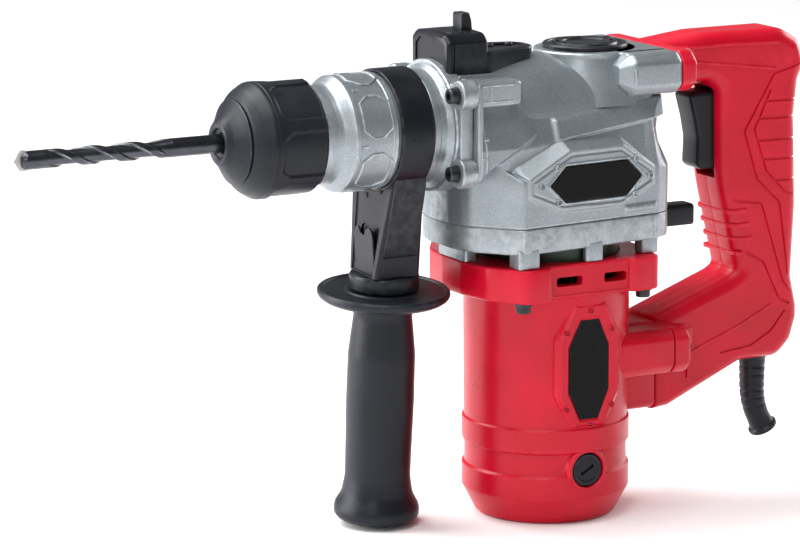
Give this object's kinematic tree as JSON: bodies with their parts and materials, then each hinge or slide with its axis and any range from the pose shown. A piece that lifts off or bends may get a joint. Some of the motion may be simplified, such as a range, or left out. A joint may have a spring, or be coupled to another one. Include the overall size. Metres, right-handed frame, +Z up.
{
  "type": "rotary hammer",
  "caption": "Electric rotary hammer with a vertical motor, D-shaped rear handle, swivelling side handle and a round-shank drill bit in a keyless chuck.",
  "frame": {"origin": "on the spindle's axis at the mouth of the chuck, where the bit enters", "axes": "-X out of the chuck along the bit, +X back to the rear handle, +Z up away from the motor"},
  "size_m": [0.477, 0.106, 0.281],
  "materials": {
    "cast_aluminium": "cast, satin with metallic flake",
    "steel": "machined",
    "dark_steel": "blackened",
    "carbide": "ground carbide",
    "red_plastic": "satin",
    "black_plastic": "fine grain",
    "black_rubber": "matte",
    "black_gloss": "gloss",
    "green_plastic": "satin",
    "copper": "enamelled copper",
    "brass": "drawn",
    "carbon": "pressed carbon"
  },
  "bodies": {
    "tool": {"front_housing": "cast_aluminium", "front_seal": "black_rubber", "spindle_bearings": "steel", "barrel_screws": "dark_steel", "gear_housing": "cast_aluminium", "grease_cap": "black_plastic", "gear_cover": "cast_aluminium", "shaft_bearings": "steel", "motor_housing": "red_plastic", "motor_screws": "dark_steel", "stator_core": "steel", "field_coils": "copper", "fan_baffle": "green_plastic", "brush_holders": "brass", "carbon_brushes": "carbon", "brush_caps": "black_plastic", "handle_left_shell": "red_plastic", "handle_right_shell": "red_plastic", "handle_screws": "dark_steel", "handle_bolts": "dark_steel", "switch_body": "black_plastic", "cable_boot": "black_rubber", "selector_base": "black_plastic", "selector_screws": "dark_steel", "gear_badges": "black_gloss", "motor_badges": "black_gloss"},
    "armature": {"armature_shaft": "steel", "armature_core": "steel", "armature_windings": "copper", "commutator": "copper", "cooling_fan": "green_plastic"},
    "crank": {"crank_shaft": "steel", "crank_gear": "steel"},
    "countershaft_body": {"countershaft": "steel", "counter_gear": "steel"},
    "spindle_body": {"spindle": "steel", "bevel_gear": "steel", "locking_balls": "steel", "retaining_ring": "steel", "dust_cap": "black_rubber", "release_spring": "steel"},
    "sleeve": {"chuck_sleeve": "black_rubber"},
    "bit": {"drill_bit": "dark_steel", "carbide_tip": "carbide"},
    "piston_body": {"piston": "steel", "piston_ring": "black_rubber", "rod_pins": "steel", "connecting_rod": "steel"},
    "striker_body": {"striker": "steel", "striker_ring": "black_rubber"},
    "impact_body": {"impact_bolt": "steel"},
    "trigger_body": {"trigger": "black_plastic"},
    "selector": {"selector_tab": "black_plastic"},
    "chisel_lever_body": {"chisel_lever": "black_plastic"},
    "side_handle": {"handle_strap": "dark_steel", "handle_bracket": "black_plastic", "grip_stud": "dark_steel"},
    "side_grip_body": {"side_grip": "black_rubber", "grip_nut": "steel"}
  },
  "joints": [
    {"name": "armature_spin", "type": "hinge", "parent": "tool", "child": "armature", "pos_m": [0.196, 0, -0.13], "axis": [0, 0, 1], "continuous": true},
    {"name": "crank_spin", "type": "hinge", "parent": "tool", "child": "crank", "pos_m": [0.2195, 0, -0.04], "axis": [0, 0, 1], "continuous": true},
    {"name": "countershaft_spin", "type": "hinge", "parent": "tool", "child": "countershaft_body", "pos_m": [0.176, 0, -0.04], "axis": [0, 0, 1], "continuous": true},
    {"name": "spindle_spin", "type": "hinge", "parent": "tool", "child": "spindle_body", "pos_m": [0.08, 0, 0], "axis": [1, 0, 0], "continuous": true},
    {"name": "sleeve_release", "type": "slide", "parent": "spindle_body", "child": "sleeve", "axis": [1, 0, 0], "range_m": [0, 0.007], "stiffness_N_per_m": 1500, "springref_m": -0.004},
    {"name": "bit_slide", "type": "slide", "parent": "spindle_body", "child": "bit", "axis": [-1, 0, 0], "range_m": [0, 0.008]},
    {"name": "piston_stroke", "type": "slide", "parent": "tool", "child": "piston_body", "axis": [1, 0, 0], "range_m": [0, 0.016]},
    {"name": "striker_slide", "type": "slide", "parent": "spindle_body", "child": "striker_body", "axis": [1, 0, 0], "range_m": [0, 0.005]},
    {"name": "impact_bolt_slide", "type": "slide", "parent": "spindle_body", "child": "impact_body", "axis": [1, 0, 0], "range_m": [0, 0.003]},
    {"name": "trigger_squeeze", "type": "hinge", "parent": "tool", "child": "trigger_body", "pos_m": [0.303, 0, 0.004], "axis": [0, -1, 0], "range_deg": [0, 7], "stiffness_Nm_per_rad": 2, "springref_deg": -5.73},
    {"name": "selector_slide", "type": "slide", "parent": "tool", "child": "selector", "axis": [1, 0, 0], "range_m": [0, 0.008]},
    {"name": "chisel_lever_swing", "type": "hinge", "parent": "tool", "child": "chisel_lever_body", "pos_m": [0.252, -0.01, -0.0625], "axis": [0, 0, 1], "range_deg": [-18, 18]},
    {"name": "side_handle_swivel", "type": "hinge", "parent": "tool", "child": "side_handle", "pos_m": [0.098, 0, 0], "axis": [1, 0, 0], "continuous": true},
    {"name": "side_grip_turn", "type": "hinge", "parent": "side_handle", "child": "side_grip_body", "pos_m": [0.0975, 0, 0], "axis": [0, -0.0698, 0.9976], "continuous": true}
  ],
  "couplings": [
    {"joint": "crank_spin", "follows": "armature_spin", "ratio": -0.23684},
    {"joint": "countershaft_spin", "follows": "armature_spin", "ratio": -0.29032},
    {"joint": "spindle_spin", "follows": "armature_spin", "ratio": 0.096774}
  ]
}
